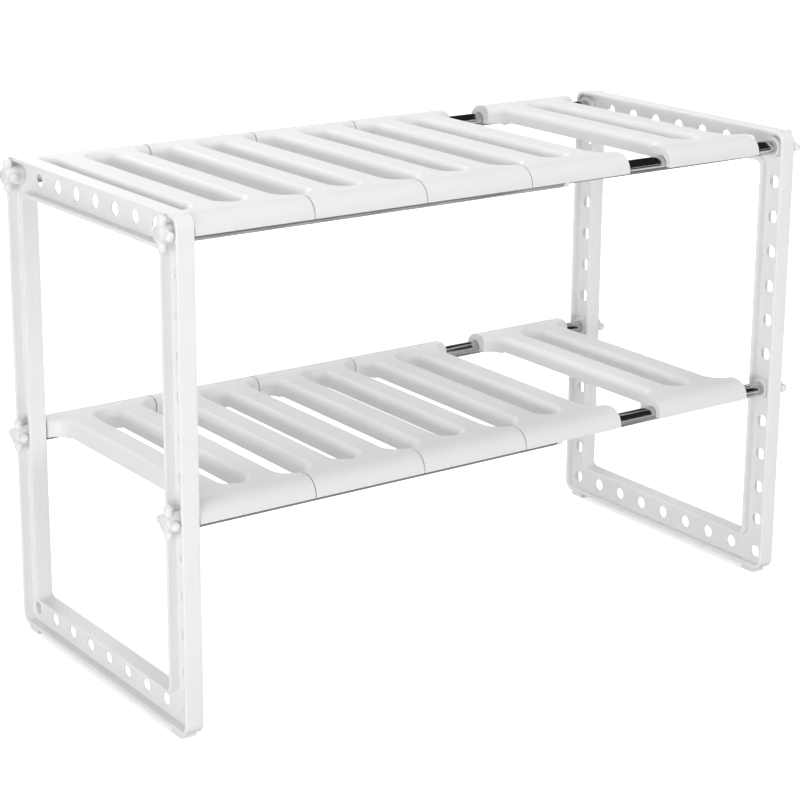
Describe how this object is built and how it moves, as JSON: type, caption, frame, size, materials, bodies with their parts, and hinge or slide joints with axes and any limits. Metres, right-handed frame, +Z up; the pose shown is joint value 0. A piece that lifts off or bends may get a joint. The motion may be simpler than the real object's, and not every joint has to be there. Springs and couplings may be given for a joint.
{
  "type": "expandable shelf rack",
  "caption": "Free-standing tiered shelf rack: white slatted panels clipped on telescoping steel tubes between two end frames with peg holes, set by cross knobs.",
  "frame": {"origin": "bottom centre of the rack, on the surface that its feet stand on", "axes": "+X along the rack from the thick tubes' end to the thin tubes' end, +Y to the back, +Z up"},
  "size_m": [0.5876, 0.2586, 0.379],
  "materials": {
    "frame_plastic": "satin white moulded plastic",
    "panel_plastic": "satin white moulded plastic",
    "fitting_plastic": "satin white moulded plastic",
    "tube_steel": "polished stainless steel"
  },
  "bodies": {
    "left_end": {"left_end_frame": "frame_plastic", "upper_front_outer_tube": "tube_steel", "upper_front_collar": "fitting_plastic", "upper_front_left_plug": "fitting_plastic", "upper_rear_outer_tube": "tube_steel", "upper_rear_collar": "fitting_plastic", "upper_rear_left_plug": "fitting_plastic", "lower_front_outer_tube": "tube_steel", "lower_front_collar": "fitting_plastic", "lower_front_left_plug": "fitting_plastic", "lower_rear_outer_tube": "tube_steel", "lower_rear_collar": "fitting_plastic", "lower_rear_left_plug": "fitting_plastic"},
    "right_end": {"right_end_frame": "frame_plastic", "upper_front_inner_tube": "tube_steel", "upper_front_right_plug": "fitting_plastic", "upper_rear_inner_tube": "tube_steel", "upper_rear_right_plug": "fitting_plastic", "lower_front_inner_tube": "tube_steel", "lower_front_right_plug": "fitting_plastic", "lower_rear_inner_tube": "tube_steel", "lower_rear_right_plug": "fitting_plastic"},
    "upper_panel_1": {"upper_panel_1": "panel_plastic"},
    "upper_panel_2": {"upper_panel_2": "panel_plastic"},
    "upper_panel_3": {"upper_panel_3": "panel_plastic"},
    "upper_panel_4": {"upper_panel_4": "panel_plastic"},
    "upper_panel_5": {"upper_panel_5": "panel_plastic"},
    "lower_panel_1": {"lower_panel_1": "panel_plastic"},
    "lower_panel_2": {"lower_panel_2": "panel_plastic"},
    "lower_panel_3": {"lower_panel_3": "panel_plastic"},
    "lower_panel_4": {"lower_panel_4": "panel_plastic"},
    "lower_panel_5": {"lower_panel_5": "panel_plastic"},
    "upper_front_left_knob": {"upper_front_left_knob": "fitting_plastic"},
    "upper_front_right_knob": {"upper_front_right_knob": "fitting_plastic"},
    "upper_rear_left_knob": {"upper_rear_left_knob": "fitting_plastic"},
    "upper_rear_right_knob": {"upper_rear_right_knob": "fitting_plastic"},
    "lower_front_left_knob": {"lower_front_left_knob": "fitting_plastic"},
    "lower_front_right_knob": {"lower_front_right_knob": "fitting_plastic"},
    "lower_rear_left_knob": {"lower_rear_left_knob": "fitting_plastic"},
    "lower_rear_right_knob": {"lower_rear_right_knob": "fitting_plastic"}
  },
  "joints": [
    {"name": "extension", "type": "slide", "parent": "left_end", "child": "right_end", "axis": [1, 0, 0], "range_m": [-0.04, 0.13]},
    {"name": "upper_panel_1_slide", "type": "slide", "parent": "left_end", "child": "upper_panel_1", "axis": [1, 0, 0], "range_m": [0, 0.03]},
    {"name": "upper_panel_2_slide", "type": "slide", "parent": "upper_panel_1", "child": "upper_panel_2", "axis": [1, 0, 0], "range_m": [0, 0.03]},
    {"name": "upper_panel_3_slide", "type": "slide", "parent": "upper_panel_2", "child": "upper_panel_3", "axis": [1, 0, 0], "range_m": [0, 0.03]},
    {"name": "upper_panel_4_slide", "type": "slide", "parent": "upper_panel_3", "child": "upper_panel_4", "axis": [1, 0, 0], "range_m": [0, 0.03]},
    {"name": "upper_panel_5_slide", "type": "slide", "parent": "right_end", "child": "upper_panel_5", "axis": [-1, 0, 0], "range_m": [-0.024, 0.04]},
    {"name": "lower_panel_1_slide", "type": "slide", "parent": "left_end", "child": "lower_panel_1", "axis": [1, 0, 0], "range_m": [0, 0.03]},
    {"name": "lower_panel_2_slide", "type": "slide", "parent": "lower_panel_1", "child": "lower_panel_2", "axis": [1, 0, 0], "range_m": [0, 0.03]},
    {"name": "lower_panel_3_slide", "type": "slide", "parent": "lower_panel_2", "child": "lower_panel_3", "axis": [1, 0, 0], "range_m": [0, 0.03]},
    {"name": "lower_panel_4_slide", "type": "slide", "parent": "lower_panel_3", "child": "lower_panel_4", "axis": [1, 0, 0], "range_m": [0, 0.03]},
    {"name": "lower_panel_5_slide", "type": "slide", "parent": "right_end", "child": "lower_panel_5", "axis": [-1, 0, 0], "range_m": [-0.024, 0.04]},
    {"name": "upper_front_left_knob_turn", "type": "hinge", "parent": "left_end", "child": "upper_front_left_knob", "pos_m": [-0.2795, -0.116, 0.3655], "axis": [-1, 0, 0], "continuous": true},
    {"name": "upper_front_right_knob_turn", "type": "hinge", "parent": "right_end", "child": "upper_front_right_knob", "pos_m": [0.2795, -0.116, 0.3655], "axis": [1, 0, 0], "continuous": true},
    {"name": "upper_rear_left_knob_turn", "type": "hinge", "parent": "left_end", "child": "upper_rear_left_knob", "pos_m": [-0.2795, 0.116, 0.3655], "axis": [-1, 0, 0], "continuous": true},
    {"name": "upper_rear_right_knob_turn", "type": "hinge", "parent": "right_end", "child": "upper_rear_right_knob", "pos_m": [0.2795, 0.116, 0.3655], "axis": [1, 0, 0], "continuous": true},
    {"name": "lower_front_left_knob_turn", "type": "hinge", "parent": "left_end", "child": "lower_front_left_knob", "pos_m": [-0.2795, -0.116, 0.1625], "axis": [-1, 0, 0], "continuous": true},
    {"name": "lower_front_right_knob_turn", "type": "hinge", "parent": "right_end", "child": "lower_front_right_knob", "pos_m": [0.2795, -0.116, 0.1625], "axis": [1, 0, 0], "continuous": true},
    {"name": "lower_rear_left_knob_turn", "type": "hinge", "parent": "left_end", "child": "lower_rear_left_knob", "pos_m": [-0.2795, 0.116, 0.1625], "axis": [-1, 0, 0], "continuous": true},
    {"name": "lower_rear_right_knob_turn", "type": "hinge", "parent": "right_end", "child": "lower_rear_right_knob", "pos_m": [0.2795, 0.116, 0.1625], "axis": [1, 0, 0], "continuous": true}
  ]
}
